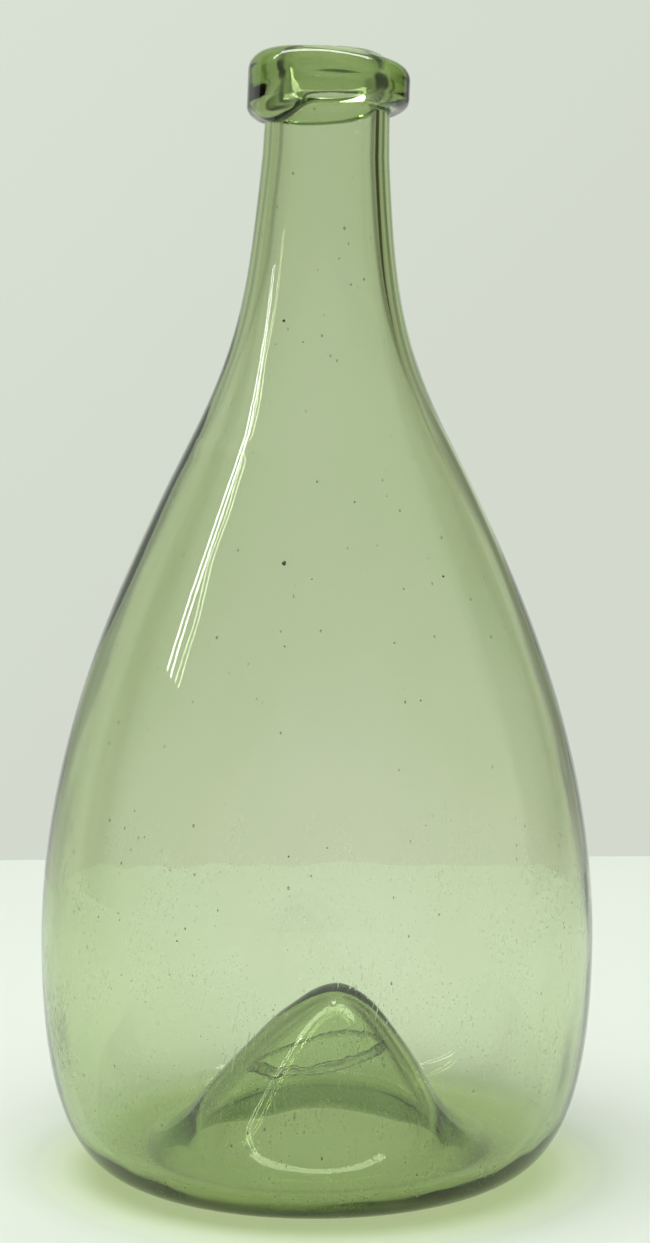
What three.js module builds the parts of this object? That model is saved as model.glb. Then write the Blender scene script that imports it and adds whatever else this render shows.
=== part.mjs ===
// A free-blown, pear-shaped bottle of pale green glass: one blown body with a
// deep kick-up, a strip of glass wound round the mouth as a collar, and the
// ring of glass that the pontil rod left under the kick-up.
//
// Millimetres, +Z up. The origin is on the table, under the middle of the
// widest ring. The bottle was made by hand, so its neck drifts towards +X and
// its walls are thicker on the -X side.

import * as THREE from 'three';

// Outer skin of the body, from the table up
const restInnerRadius = 35;
const restOuterRadius = 37;
const heelFlatness = 15;
const heelRise = 29.5;
const girthRadius = 57.25;
const girthHeight = 48.2;
const girthFullness = 40.5;
const shoulderRadius = 26.4;
const shoulderHeight = 151.7;
const shoulderAngle = THREE.MathUtils.degToRad(63);
const shoulderBelow = 31.3;
const shoulderAbove = 23.2;
const neckRadius = 13.05;
const neckHeight = 208.4;
const neckAngle = THREE.MathUtils.degToRad(85.4);
const neckStretch = 24.1;
const lipRadius = 12.4;
const lipLength = 21.2;
const mouthHeight = neckHeight + lipLength;

// How far the hand-made axis strays from upright
const leanPerHeight = 0.00625;
const bendStart = 150;
const bendAmount = 1.6;

// Walls, measured square to the outer skin, and the drift of the hollow
const heelWall = 3.8;
const girthWall = 2.4;
const shoulderWall = 2.8;
const neckWall = 3.4;
const mouthWall = 2.6;
const kickWall = 3.7;
const girthDrift = 0.9;
const shoulderDrift = 0.2;
const neckDrift = 0.6;

// Kick-up: the base pushed in from below, its tip off the middle
const kickHeight = 33.8;
const kickFoot = 8;
const kickFootAngle = THREE.MathUtils.degToRad(126);
const kickFootRound = 8;
const kickFootRise = 3.5;
const kickTip = 6.9;
const kickOffset = 4;
const kickLeanPower = 2;
const kickEndRadius = 22;
const cavityFloorRise = 14;
const cavityFloorStretch = 14;

// Collar: a flattened strip wound once round the mouth and lapped on itself
const collarRadius = 16.7;
const collarSetback = 0.4;
const collarDepth = 11.9;
const collarTopRounding = 3.4;
const collarBottomRounding = 2.4;
const collarSlant = 1.2;
const collarSlantAngle = THREE.MathUtils.degToRad(-20);
const lapAngle = THREE.MathUtils.degToRad(-136);
const lapSpread = THREE.MathUtils.degToRad(34);
const lapDrop = 2.7;
const lapSwell = 0.35;

// Pontil scar: a broken ring of glass under the kick-up
const scarRadius = 13.6;
const scarOffset = 2.4;
const scarWidth = 1.8;
const scarDepth = 0.9;
const scarRoughness = 0.35;
const scarChips = 9;
const scarSplits = 5;
const scarSwells = 7;
const scarPhase = 1;

// Clearance that keeps two pieces of glass from sharing a surface
const seamGap = 0.3;

// Facets
const sidesRound = 48;
const heelSteps = 10;
const bodySteps = 14;
const riseSteps = 9;
const rimSteps = 6;
const kickSteps = 13;
const footSteps = 4;
const floorSteps = 8;
const roundingSteps = 4;
const scarSteps = 4;
const tau = Math.PI * 2;

const bodyGlass = new THREE.MeshStandardMaterial({ color: 0x93b57a, roughness: 0.06, metalness: 0 });
bodyGlass.name = 'body_glass';
const collarGlass = new THREE.MeshStandardMaterial({ color: 0x7fa765, roughness: 0.08, metalness: 0 });
collarGlass.name = 'collar_glass';
const scarGlass = new THREE.MeshStandardMaterial({ color: 0xa3bd8e, roughness: 0.35, metalness: 0 });
scarGlass.name = 'scar_glass';

// A point of a profile: x is the radius, y the sideways drift of its ring, z the height
function station(radius, height, drift = 0) {
  return new THREE.Vector3(radius, drift, height);
}

function direction(angle) {
  return station(Math.cos(angle), Math.sin(angle));
}

function along(point, angle, distance) {
  return point.clone().addScaledVector(direction(angle), distance);
}

function bezier(start, leave, arrive, end, steps) {
  return new THREE.CubicBezierCurve3(start, leave, arrive, end).getPoints(steps);
}

function join(...runs) {
  const points = [];
  for (const run of runs) {
    const startsOnLast = points.length > 0 && points.at(-1).distanceTo(run[0]) < 1e-6;
    points.push(...(startsOnLast ? run.slice(1) : run));
  }
  return points;
}

// Sideways place of the hand-made axis, and how far it tips there
function bendShare(height) {
  return Math.max(0, (height - bendStart) / (mouthHeight - bendStart));
}

function axisPlace(height) {
  return leanPerHeight * (height - girthHeight) + bendAmount * bendShare(height) ** 2;
}

function axisTip(height) {
  return Math.atan((2 * bendAmount * bendShare(height)) / (mouthHeight - bendStart));
}

// The place in space of a profile point at an angle round the axis
function place(point, angle) {
  const tip = axisTip(point.z);
  const outward = point.x * Math.cos(angle);
  return new THREE.Vector3(
    axisPlace(point.z) + point.y + outward * Math.cos(tip),
    point.x * Math.sin(angle),
    point.z - outward * Math.sin(tip),
  );
}

// The outer skin from the resting ring to the mouth: heel, body, shoulder and neck
function outerProfile() {
  const rest = station(restOuterRadius, 0);
  const girth = station(girthRadius, girthHeight);
  const shoulder = station(shoulderRadius, shoulderHeight);
  const neck = station(neckRadius, neckHeight);
  const up = Math.PI / 2;
  const shoulderWay = Math.PI - shoulderAngle;
  const neckWay = Math.PI - neckAngle;
  const heel = bezier(rest, along(rest, 0, heelFlatness), along(girth, -up, heelRise), girth, heelSteps);
  const underShoulder = along(shoulder, shoulderWay, -shoulderBelow);
  const overShoulder = along(shoulder, shoulderWay, shoulderAbove);
  const body = bezier(girth, along(girth, up, girthFullness), underShoulder, shoulder, bodySteps);
  const rise = bezier(shoulder, overShoulder, along(neck, neckWay, -neckStretch), neck, riseSteps);
  const mouth = station(lipRadius, mouthHeight - mouthWall / 2);
  return join([rest], heel, body, rise, [neck, mouth]);
}

// A value that passes smoothly through what is known at a few heights
function throughHeights(height, known) {
  const last = known.length - 1;
  if (height <= known[0][0]) return known[0][1];
  if (height >= known[last][0]) return known[last][1];
  const next = known.findIndex(([level]) => level > height);
  const [lowLevel, low] = known[next - 1];
  const [highLevel, high] = known[next];
  const share = THREE.MathUtils.smoothstep(height, lowLevel, highLevel);
  return low + (high - low) * share;
}

function wallAt(height) {
  return throughHeights(height, [
    [cavityFloorRise, heelWall],
    [girthHeight, girthWall],
    [shoulderHeight, shoulderWall],
    [neckHeight, neckWall],
    [mouthHeight, mouthWall],
  ]);
}

function driftAt(height) {
  return throughHeights(height, [
    [girthHeight, girthDrift],
    [shoulderHeight, shoulderDrift],
    [neckHeight, neckDrift],
    [mouthHeight, 0],
  ]);
}

// Each point of a run moved to the left of its way along it, by its own distance
function offset(run, distanceAt, driftOf) {
  return run.map((point, index) => {
    const before = run[Math.max(index - 1, 0)];
    const after = run[Math.min(index + 1, run.length - 1)];
    const way = Math.atan2(after.z - before.z, after.x - before.x);
    const moved = along(point, way + Math.PI / 2, distanceAt(point.z));
    moved.y = driftOf(moved.z);
    return moved;
  });
}

// Drift of a ring of the kick-up, which leans more the nearer it is to the tip
function kickDriftAt(height, tipHeight) {
  return kickOffset * (height / tipHeight) ** kickLeanPower;
}

// Underside of the kick-up, from its tip on the axis out to the resting ring
function kickProfile() {
  const tip = station(0, kickHeight);
  const foot = station(restInnerRadius, 0);
  const knee = station(restInnerRadius - kickFootRound, kickFootRise);
  const overKnee = along(knee, kickFootAngle, kickFoot);
  const underKnee = along(knee, kickFootAngle, -kickFootRise / 2);
  const flank = bezier(tip, station(kickTip, kickHeight), overKnee, knee, kickSteps);
  const rounded = bezier(knee, underKnee, along(foot, Math.PI, kickFootRound / 2), foot, footSteps);
  const run = join(flank, rounded);
  run.forEach((point) => { point.y = kickDriftAt(point.z, kickHeight); });
  return run;
}

// The inside of the wall, from the mouth down to where the cavity floor begins
function innerSideProfile(outer) {
  const lining = offset(outer, wallAt, driftAt).filter((point) => point.z > cavityFloorRise);
  lining.at(-1).set(lipRadius - mouthWall, 0, mouthHeight - mouthWall / 2);
  return lining.reverse();
}

// The upper skin of the kick-up, inside the bottle, from its edge up to the tip
function innerKickProfile(underside) {
  const topHeight = kickHeight + kickWall;
  const raised = offset(underside, () => kickWall, (height) => kickDriftAt(height, topHeight));
  const top = raised.filter((point) => point.x < kickEndRadius + kickWall);
  top[0].set(0, kickOffset, topHeight);
  return top.reverse();
}

// The rounded floor of the cavity, joining the wall to the kick-up
function cavityFloor(side, kick) {
  const start = side.at(-1);
  const end = kick[0];
  const into = start.clone().sub(side.at(-2)).normalize();
  const outOf = kick[1].clone().sub(end).normalize();
  const leave = start.clone().addScaledVector(into, cavityFloorStretch);
  const arrive = end.clone().addScaledVector(outOf, -cavityFloorStretch);
  return bezier(start, leave, arrive, end, floorSteps);
}

// The fire-rounded end of the neck wall
function rimProfile() {
  const middle = station(lipRadius - mouthWall / 2, mouthHeight - mouthWall / 2);
  const turn = Math.PI / rimSteps;
  return Array.from({ length: rimSteps + 1 }, (_, step) => along(middle, turn * step, mouthWall / 2));
}

// Rings of points joined into one closed skin. Rings run round as the profile
// runs on, and a ring of radius nothing becomes one point.
function skin(rings, closes) {
  const positions = [];
  const starts = rings.map((ring) => {
    const start = positions.length / 3;
    ring.forEach((point) => positions.push(point.x, point.y, point.z));
    return start;
  });
  const corner = (ring, side) => starts[ring] + (rings[ring].length === 1 ? 0 : side % rings[ring].length);
  const faces = [];
  const bands = closes ? rings.length : rings.length - 1;
  for (let band = 0; band < bands; band += 1) {
    const next = (band + 1) % rings.length;
    const sides = Math.max(rings[band].length, rings[next].length);
    for (let side = 0; side < sides; side += 1) {
      const a = corner(band, side);
      const b = corner(band, side + 1);
      const c = corner(next, side + 1);
      const d = corner(next, side);
      if (a !== b) faces.push(a, b, c);
      if (c !== d) faces.push(a, c, d);
    }
  }
  const geometry = new THREE.BufferGeometry();
  geometry.setAttribute('position', new THREE.Float32BufferAttribute(positions, 3));
  geometry.setIndex(faces);
  geometry.computeVertexNormals();
  return geometry;
}

function ringOf(point) {
  if (point.x < 1e-6) return [place(point, 0)];
  return Array.from({ length: sidesRound }, (_, side) => place(point, (tau * side) / sidesRound));
}

// One blown bubble: underside, heel, outer wall, rim, inner wall, floor and kick-up
function blownBody() {
  const underside = kickProfile();
  const outer = outerProfile();
  const side = innerSideProfile(outer);
  const kick = innerKickProfile(underside);
  const profile = join(underside, outer, rimProfile(), side, cavityFloor(side, kick), kick);
  return skin(profile.map(ringOf), false);
}

// Radius of the neck's outer skin where the collar lies
function neckRadiusAt(height) {
  const share = (height - neckHeight) / (mouthHeight - mouthWall / 2 - neckHeight);
  return neckRadius + (lipRadius - neckRadius) * share;
}

// A lobe that is one at the lap and falls smoothly to nothing beside it
function lapShare(angle) {
  const away = Math.abs(Math.atan2(Math.sin(angle - lapAngle), Math.cos(angle - lapAngle)));
  return away < lapSpread ? Math.cos((away / lapSpread) * (Math.PI / 2)) ** 2 : 0;
}

// The collar hangs from just under the rim
const collarTop = mouthHeight - collarSetback;
const collarBottom = collarTop - collarDepth;

// Section of the strip at an angle: a flat inner face and a rounded outer one
function collarSection(angle) {
  const lap = lapShare(angle);
  const low = collarBottom + collarSlant * Math.cos(angle - collarSlantAngle) - lapDrop * lap;
  const out = collarRadius + lapSwell * lap;
  const roundStep = Math.PI / 2 / roundingSteps;
  const bottomCentre = station(out - collarBottomRounding, low + collarBottomRounding);
  const topCentre = station(out - collarTopRounding, collarTop - collarTopRounding);
  const points = [station(neckRadiusAt(low) + seamGap, low)];
  for (let step = 0; step <= roundingSteps; step += 1) {
    points.push(along(bottomCentre, -Math.PI / 2 + roundStep * step, collarBottomRounding));
  }
  for (let step = 0; step <= roundingSteps; step += 1) {
    points.push(along(topCentre, roundStep * step, collarTopRounding));
  }
  points.push(station(neckRadiusAt(collarTop) + seamGap, collarTop));
  return points;
}

function woundCollar() {
  const sections = Array.from({ length: sidesRound }, (_, side) => {
    const angle = (tau * side) / sidesRound;
    return collarSection(angle).map((point) => place(point, angle));
  });
  const rings = sections[0].map((_, corner) => sections.map((section) => section[corner]));
  return skin(rings, true);
}

// The scar hugs the kick-up's underside: a band of the profile, thickened downwards
function scarSection(angle, underside) {
  const chip = Math.sin(scarChips * angle) * Math.cos(scarSplits * angle + scarPhase);
  const middle = scarRadius - scarOffset * Math.cos(angle) + scarRoughness * chip;
  const width = scarWidth * (1 + scarRoughness * Math.sin(scarSwells * angle));
  const depth = scarDepth * (1 + scarRoughness * chip);
  const inner = middle - width / 2;
  const band = Array.from({ length: scarSteps + 1 }, (_, step) => inner + (width * step) / scarSteps);
  const roof = band.map((radius) => underside(radius, seamGap));
  const crest = band.slice(1, -1).map((radius) => {
    const across = ((radius - middle) / width) * 2;
    return underside(radius, seamGap + depth * Math.sqrt(1 - across * across));
  });
  return [...crest, ...roof.reverse()];
}

function pontilScar() {
  const run = kickProfile();
  // Point of the underside at a radius, moved down off the glass by a depth
  const underside = (radius, depth) => {
    const next = run.findIndex((point) => point.x > radius);
    const share = (radius - run[next - 1].x) / (run[next].x - run[next - 1].x);
    const way = Math.atan2(run[next].z - run[next - 1].z, run[next].x - run[next - 1].x);
    return along(run[next - 1].clone().lerp(run[next], share), way - Math.PI / 2, depth);
  };
  const sections = Array.from({ length: sidesRound }, (_, side) => {
    const angle = (tau * side) / sidesRound;
    return scarSection(angle, underside).map((point) => place(point, angle));
  });
  const rings = sections[0].map((_, corner) => sections.map((section) => section[corner]));
  return skin(rings, true);
}

function piece(name, geometry, material) {
  const mesh = new THREE.Mesh(geometry, material);
  mesh.name = name;
  return mesh;
}

const bottle = new THREE.Group();
bottle.name = 'glass_bottle';
bottle.add(piece('bottle_body', blownBody(), bodyGlass));
bottle.add(piece('lip_collar', woundCollar(), collarGlass));
bottle.add(piece('pontil_scar', pontilScar(), scarGlass));

export default bottle;
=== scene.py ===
"""A free-blown, pear-shaped bottle of pale green glass: its blown body, the
collar wound round its mouth and the broken pontil ring under its kick-up,
dressed for the eye on a pale table."""

import math

import bmesh
import bpy
import numpy as np
from bpy.props import FloatProperty, FloatVectorProperty, IntProperty, PointerProperty
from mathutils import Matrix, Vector, noise


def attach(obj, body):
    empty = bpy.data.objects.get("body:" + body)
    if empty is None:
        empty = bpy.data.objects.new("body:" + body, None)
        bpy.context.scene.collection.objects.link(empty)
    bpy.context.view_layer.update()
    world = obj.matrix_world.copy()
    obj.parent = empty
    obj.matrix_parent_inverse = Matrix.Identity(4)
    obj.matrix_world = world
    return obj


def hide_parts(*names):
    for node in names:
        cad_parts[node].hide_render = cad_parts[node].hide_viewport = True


bl_info = {
    "name": "Free-blown Green Bottle",
    "version": (1, 0, 0),
    "blender": (4, 5, 0),
    "location": "View3D > Sidebar > Bottle",
    "description": "Makes a free-blown bottle of pale green glass on a table",
    "category": "Add Mesh",
}

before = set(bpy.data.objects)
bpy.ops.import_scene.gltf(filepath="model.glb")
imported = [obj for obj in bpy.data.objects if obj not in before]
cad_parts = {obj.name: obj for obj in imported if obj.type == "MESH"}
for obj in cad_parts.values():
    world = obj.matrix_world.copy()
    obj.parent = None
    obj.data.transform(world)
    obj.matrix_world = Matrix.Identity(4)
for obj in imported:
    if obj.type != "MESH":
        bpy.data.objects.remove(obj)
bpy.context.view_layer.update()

MM = 0.001
TAU = 2 * math.pi
UP = math.pi / 2


class BodySizes(bpy.types.PropertyGroup):
    rest_inner: FloatProperty(
        name="Rest inner radius", description="Inside of the flat ring worn under the heel",
        default=35 * MM, unit="LENGTH")
    rest_outer: FloatProperty(
        name="Rest outer radius", description="Outside of the flat ring worn under the heel",
        default=37 * MM, unit="LENGTH")
    heel_flatness: FloatProperty(
        name="Heel flatness", description="How far the heel runs out before it rises",
        default=15 * MM, unit="LENGTH")
    heel_rise: FloatProperty(
        name="Heel rise", description="How far below the girth the heel begins to turn in",
        default=29.5 * MM, unit="LENGTH")
    girth: FloatProperty(
        name="Girth radius", description="Radius of the widest ring",
        default=57.25 * MM, unit="LENGTH")
    girth_height: FloatProperty(
        name="Girth height", description="Height of the widest ring",
        default=48.2 * MM, unit="LENGTH")
    girth_fullness: FloatProperty(
        name="Girth fullness", description="How long the body stays full above the girth",
        default=40.5 * MM, unit="LENGTH")
    shoulder: FloatProperty(
        name="Shoulder radius", description="Radius where the shoulder turns from full to hollow",
        default=26.4 * MM, unit="LENGTH")
    shoulder_height: FloatProperty(
        name="Shoulder height", description="Height where the shoulder turns",
        default=151.7 * MM, unit="LENGTH")
    shoulder_angle: FloatProperty(
        name="Shoulder angle", description="Slope of the shoulder where it turns",
        default=math.radians(63), subtype="ANGLE")
    shoulder_below: FloatProperty(
        name="Shoulder below", description="Reach of the shoulder's slope downwards",
        default=31.3 * MM, unit="LENGTH")
    shoulder_above: FloatProperty(
        name="Shoulder above", description="Reach of the shoulder's slope upwards",
        default=23.2 * MM, unit="LENGTH")
    neck: FloatProperty(
        name="Neck radius", description="Outer radius of the neck under the collar",
        default=13.05 * MM, unit="LENGTH")
    neck_height: FloatProperty(
        name="Neck height", description="Height where the neck begins its straight end",
        default=208.4 * MM, unit="LENGTH")
    neck_angle: FloatProperty(
        name="Neck angle", description="Slope of the neck under the collar",
        default=math.radians(85.4), subtype="ANGLE")
    neck_stretch: FloatProperty(
        name="Neck stretch", description="Reach of the neck's slope downwards",
        default=24.1 * MM, unit="LENGTH")
    lip: FloatProperty(
        name="Lip radius", description="Outer radius of the neck at the rim",
        default=12.4 * MM, unit="LENGTH")
    lip_length: FloatProperty(
        name="Lip length", description="Length of the neck's straight end",
        default=21.2 * MM, unit="LENGTH")
    lean: FloatProperty(
        name="Lean", description="Sideways drift of the axis for each length of height",
        default=0.00625)
    bend_start: FloatProperty(
        name="Bend start", description="Height where the neck begins to bend",
        default=150 * MM, unit="LENGTH")
    bend: FloatProperty(
        name="Bend", description="How far the bend carries the mouth sideways",
        default=1.6 * MM, unit="LENGTH")
    sides: IntProperty(name="Sides", description="Facets round the body", default=224)


class WallSizes(bpy.types.PropertyGroup):
    heel: FloatProperty(name="Heel wall", description="Wall at the heel", default=2.5 * MM, unit="LENGTH")
    girth: FloatProperty(
        name="Girth wall", description="Wall at the widest ring",
        default=1.85 * MM, unit="LENGTH")
    shoulder: FloatProperty(
        name="Shoulder wall", description="Wall at the shoulder",
        default=2.45 * MM, unit="LENGTH")
    neck: FloatProperty(name="Neck wall", description="Wall of the neck", default=2.9 * MM, unit="LENGTH")
    mouth: FloatProperty(name="Mouth wall", description="Wall at the rim", default=2.6 * MM, unit="LENGTH")
    kick: FloatProperty(
        name="Kick-up wall", description="Wall of the kick-up",
        default=3.7 * MM, unit="LENGTH")
    girth_swell: FloatProperty(
        name="Girth swell", description="How much thicker the wall is on the left of the girth",
        default=0.7 * MM, unit="LENGTH")
    shoulder_swell: FloatProperty(
        name="Shoulder swell", description="How much thicker it is left of the shoulder",
        default=0.3 * MM, unit="LENGTH")
    neck_swell: FloatProperty(
        name="Neck swell", description="How much thicker it is left of the neck",
        default=0.6 * MM, unit="LENGTH")
    floor_rise: FloatProperty(
        name="Floor rise", description="Height where the wall turns into the cavity's floor",
        default=12.7 * MM, unit="LENGTH")
    floor_stretch: FloatProperty(
        name="Floor stretch", description="How far the wall's slope runs into the floor",
        default=14 * MM, unit="LENGTH")
    ripple: FloatProperty(
        name="Ripple", description="Height of the waves on the inside of the wall",
        default=0.16 * MM, unit="LENGTH")


class KickSizes(bpy.types.PropertyGroup):
    height: FloatProperty(
        name="Kick-up height", description="Height of the kick-up's underside",
        default=33.8 * MM, unit="LENGTH")
    foot: FloatProperty(
        name="Foot reach", description="Reach of the steep foot of the kick-up",
        default=8 * MM, unit="LENGTH")
    foot_angle: FloatProperty(
        name="Foot angle", description="Direction in which the foot rises",
        default=math.radians(126), subtype="ANGLE")
    foot_round: FloatProperty(
        name="Foot rounding", description="Width of the foot's rounded edge",
        default=8 * MM, unit="LENGTH")
    foot_rise: FloatProperty(
        name="Foot rise", description="Height of the foot's rounded edge",
        default=3.5 * MM, unit="LENGTH")
    tip: FloatProperty(
        name="Tip roundness", description="Reach of the flat tip",
        default=6.9 * MM, unit="LENGTH")
    offset: FloatProperty(
        name="Tip offset", description="How far the tip is off the middle",
        default=4 * MM, unit="LENGTH")
    lean: IntProperty(
        name="Lean power", description="How sharply the kick-up leans over towards its tip",
        default=2)
    end: FloatProperty(
        name="End radius", description="Radius where the kick-up turns into the cavity's floor",
        default=22 * MM, unit="LENGTH")


class CollarSizes(bpy.types.PropertyGroup):
    radius: FloatProperty(
        name="Radius", description="Outer radius of the collar",
        default=16.7 * MM, unit="LENGTH")
    setback: FloatProperty(
        name="Setback", description="How far the collar stops below the rim",
        default=0.4 * MM, unit="LENGTH")
    depth: FloatProperty(name="Depth", description="Height of the strip", default=11.9 * MM, unit="LENGTH")
    top_rounding: FloatProperty(
        name="Top rounding", description="Radius of the strip's upper edge",
        default=3.4 * MM, unit="LENGTH")
    bottom_rounding: FloatProperty(
        name="Bottom rounding", description="Radius of the strip's lower edge",
        default=2.4 * MM, unit="LENGTH")
    dip: FloatProperty(
        name="Dip", description="How far the upper edge sags on one side",
        default=1.3 * MM, unit="LENGTH")
    dip_angle: FloatProperty(
        name="Dip angle", description="Where the upper edge is lowest",
        default=math.radians(-15), subtype="ANGLE")
    slant: FloatProperty(
        name="Slant", description="How far the lower edge tips",
        default=1.2 * MM, unit="LENGTH")
    slant_angle: FloatProperty(
        name="Slant angle", description="Where the lower edge is highest",
        default=math.radians(-20), subtype="ANGLE")
    lap_angle: FloatProperty(
        name="Lap angle", description="Where the strip's end laps its start",
        default=math.radians(-136), subtype="ANGLE")
    lap_spread: FloatProperty(
        name="Lap spread", description="How far the lap reaches to each side",
        default=math.radians(34), subtype="ANGLE")
    lap_drop: FloatProperty(
        name="Lap drop", description="How far the lapped end sags",
        default=2.7 * MM, unit="LENGTH")
    lap_swell: FloatProperty(
        name="Lap swell", description="How far the lapped end stands proud",
        default=0.35 * MM, unit="LENGTH")
    bed: FloatProperty(
        name="Bed", description="How far the hot strip sinks into the neck",
        default=2.05 * MM, unit="LENGTH")
    bed_height: FloatProperty(
        name="Bed height", description="Height of the bedded part of the strip",
        default=10 * MM, unit="LENGTH")
    bed_step: FloatProperty(
        name="Bed step", description="Height over which the strip sinks in",
        default=4.5 * MM, unit="LENGTH")
    seam: FloatProperty(
        name="Seam", description="Space that keeps the collar's glass off the neck's",
        default=0.03 * MM, unit="LENGTH")


class ScarSizes(bpy.types.PropertyGroup):
    radius: FloatProperty(
        name="Radius", description="Radius of the broken ring",
        default=13.6 * MM, unit="LENGTH")
    offset: FloatProperty(
        name="Offset", description="How far the ring is off the kick-up's middle",
        default=2.0 * MM, unit="LENGTH")
    width: FloatProperty(
        name="Width", description="Width of the broken glass",
        default=1.4 * MM, unit="LENGTH")
    depth: FloatProperty(
        name="Depth", description="How far the glass stands down",
        default=0.5 * MM, unit="LENGTH")
    roughness: FloatProperty(
        name="Unevenness", description="Share by which width and depth vary",
        default=0.35)


class SeedSizes(bpy.types.PropertyGroup):
    bubble: FloatProperty(
        name="Bubble radius", description="Radius of the largest seed in the glass",
        default=0.28 * MM, unit="LENGTH")
    bubbles: FloatProperty(name="Bubbles", description="Seeds in each square metre of wall", default=2600.0)
    stone: FloatProperty(
        name="Stone radius", description="Radius of the largest brown stone",
        default=0.42 * MM, unit="LENGTH")
    specks: IntProperty(name="Specks", description="Small stones scattered through the wall", default=70)


class StageSettings(bpy.types.PropertyGroup):
    camera_distance: FloatProperty(
        name="Camera distance", description="From the bottle's axis to the lens",
        default=482 * MM, unit="LENGTH")
    camera_height: FloatProperty(
        name="Camera height", description="Height of the lens above the table",
        default=142.6 * MM, unit="LENGTH")
    camera_side: FloatProperty(
        name="Camera side", description="How far the lens is to the right of the axis",
        default=1.66 * MM, unit="LENGTH")
    camera_pitch: FloatProperty(
        name="Camera pitch", description="How far the camera looks down",
        default=math.radians(3.466), subtype="ANGLE")
    lens: FloatProperty(name="Lens", description="Focal length in millimetres", default=67.42)
    table_edge: FloatProperty(
        name="Table edge", description="From the axis to the table's far edge",
        default=392 * MM, unit="LENGTH")
    table_turn: FloatProperty(
        name="Table turn", description="How far the table is turned",
        default=math.radians(2.2), subtype="ANGLE")
    table: FloatVectorProperty(
        name="Table", description="Colour of the table",
        subtype="COLOR", default=(0.80, 0.86, 0.78))


GROUPS = {
    "body_sizes": BodySizes,
    "wall_sizes": WallSizes,
    "kick_sizes": KickSizes,
    "collar_sizes": CollarSizes,
    "scar_sizes": ScarSizes,
    "seed_sizes": SeedSizes,
    "stage_settings": StageSettings,
}


def linear(code):
    """A linear colour from an sRGB hex code."""
    parts = [int(code[i:i + 2], 16) / 255 for i in (1, 3, 5)]
    return tuple(p / 12.92 if p <= 0.04045 else ((p + 0.055) / 1.055) ** 2.4 for p in parts)


# The kind of node that most values are worked out with
MATH = "ShaderNodeMath"


def node(tree, kind, inputs=None, **settings):
    """Adds a node; an input is a value, a socket to link from, or a node to link from by its first output."""
    made = tree.nodes.new(kind)
    for name, value in settings.items():
        setattr(made, name, value)
    for key, value in (inputs or {}).items():
        if isinstance(value, bpy.types.Node):
            value = value.outputs[0]
        if isinstance(value, bpy.types.NodeSocket):
            tree.links.new(value, made.inputs[key])
        else:
            made.inputs[key].default_value = value
    return made


def new_material(name):
    material = bpy.data.materials.get(name) or bpy.data.materials.new(name)
    material.use_nodes = True
    material.node_tree.nodes.clear()
    return material, material.node_tree


def ramp(tree, value, stops):
    """A colour ramp over a value, from pairs of position and colour."""
    made = node(tree, "ShaderNodeValToRGB", {0: value})
    keys = made.color_ramp.elements
    for _ in stops[2:]:
        keys.new(0.5)
    for key, (position, _) in zip(keys, sorted(stops)):
        key.position = position
    for key, (_, colour) in zip(keys, sorted(stops)):
        key.color = (*colour, 1)
    return made


def put(name, data):
    """Makes a mesh, lamp or camera an object of the scene, at the origin."""
    made = bpy.data.objects.new(name, data)
    bpy.context.scene.collection.objects.link(made)
    return made


# Bottle glass is soda glass tinted by a little iron. It takes away red and
# blue by its depth, so thick places are a deeper green and thin ones pale.
GLASS_IOR = 1.52
GLASS_TINT = (0.453, 0.617, 0.08)
GLASS_DEPTH = 150.0
# The roughness that fire leaves where nothing has worn the glass
POLISH = 0.012

# The faint waves of blown glass: wide ripples, and flat rings from turning it on the pipe
RIPPLE_WIDTH = 22 * MM
RING_WIDTH = 5 * MM
RING_FLATNESS = (0.3, 0.3, 1.0)
RING_SHARE = 0.3
WAVE_STRENGTH = 0.25

# The worn foot: how wide its scuffs are, and how far up from the table they reach
SCUFF_WIDTH = 1.5 * MM
SCUFF_REACH = 3.5 * MM

# Scratches from being set down and slid about: their length and width, the ways they lean, how rare a
# line is, how deep it is against the waves, the patches they come in, and the heights where they fade out
SCRATCH_LENGTH = 8 * MM
SCRATCH_WIDTH = 0.4 * MM
SCRATCH_LEANS = ((0.1, 0.2, 0.0), (-0.5, 0.6, 1.0))
SCRATCH_RARITY = (0.76, 0.8)
SCRATCH_DEPTH = -0.09
SCRATCH_FADE = (95 * MM, 60 * MM)
PATCH_WIDTH = 12 * MM
PATCH_EDGE = (0.47, 0.55)

# A snapped face is a field of small curved chips
CHIP_WIDTH = 1.2 * MM
CHIP_DEPTH = 0.2 * MM
CHIP_STRENGTH = 0.6
CHIP_ROUGHNESS = (0.1, 0.35)


def scratches(tree, place_on, height):
    """A few hairlines low on the body, in patches: one on a line and nothing between them."""
    low = node(tree, "ShaderNodeMapRange", {
        "Value": height, "From Min": SCRATCH_FADE[0], "From Max": SCRATCH_FADE[1]})
    patch = node(tree, "ShaderNodeTexNoise", {"Vector": place_on, "Scale": 1 / PATCH_WIDTH, "Detail": 1.0})
    patch = node(tree, "ShaderNodeMapRange", {
        "Value": patch.outputs["Fac"], "From Min": PATCH_EDGE[0], "From Max": PATCH_EDGE[1]})
    lines = 0.0
    for lean in SCRATCH_LEANS:
        laid = node(tree, "ShaderNodeMapping", {
            "Vector": place_on, "Rotation": lean, "Scale": (SCRATCH_WIDTH, SCRATCH_WIDTH, SCRATCH_LENGTH)},
            vector_type="TEXTURE")
        hairs = node(tree, "ShaderNodeTexNoise", {"Vector": laid, "Scale": 1.0, "Detail": 0.0})
        hairs = node(tree, "ShaderNodeMapRange", {
            "Value": hairs.outputs["Fac"], "From Min": SCRATCH_RARITY[0], "From Max": SCRATCH_RARITY[1]})
        lines = node(tree, MATH, {0: lines, 1: hairs}, operation="MAXIMUM")
    where = node(tree, MATH, {0: low, 1: patch}, operation="MULTIPLY")
    return node(tree, MATH, {0: lines, 1: where}, operation="MULTIPLY")


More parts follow.
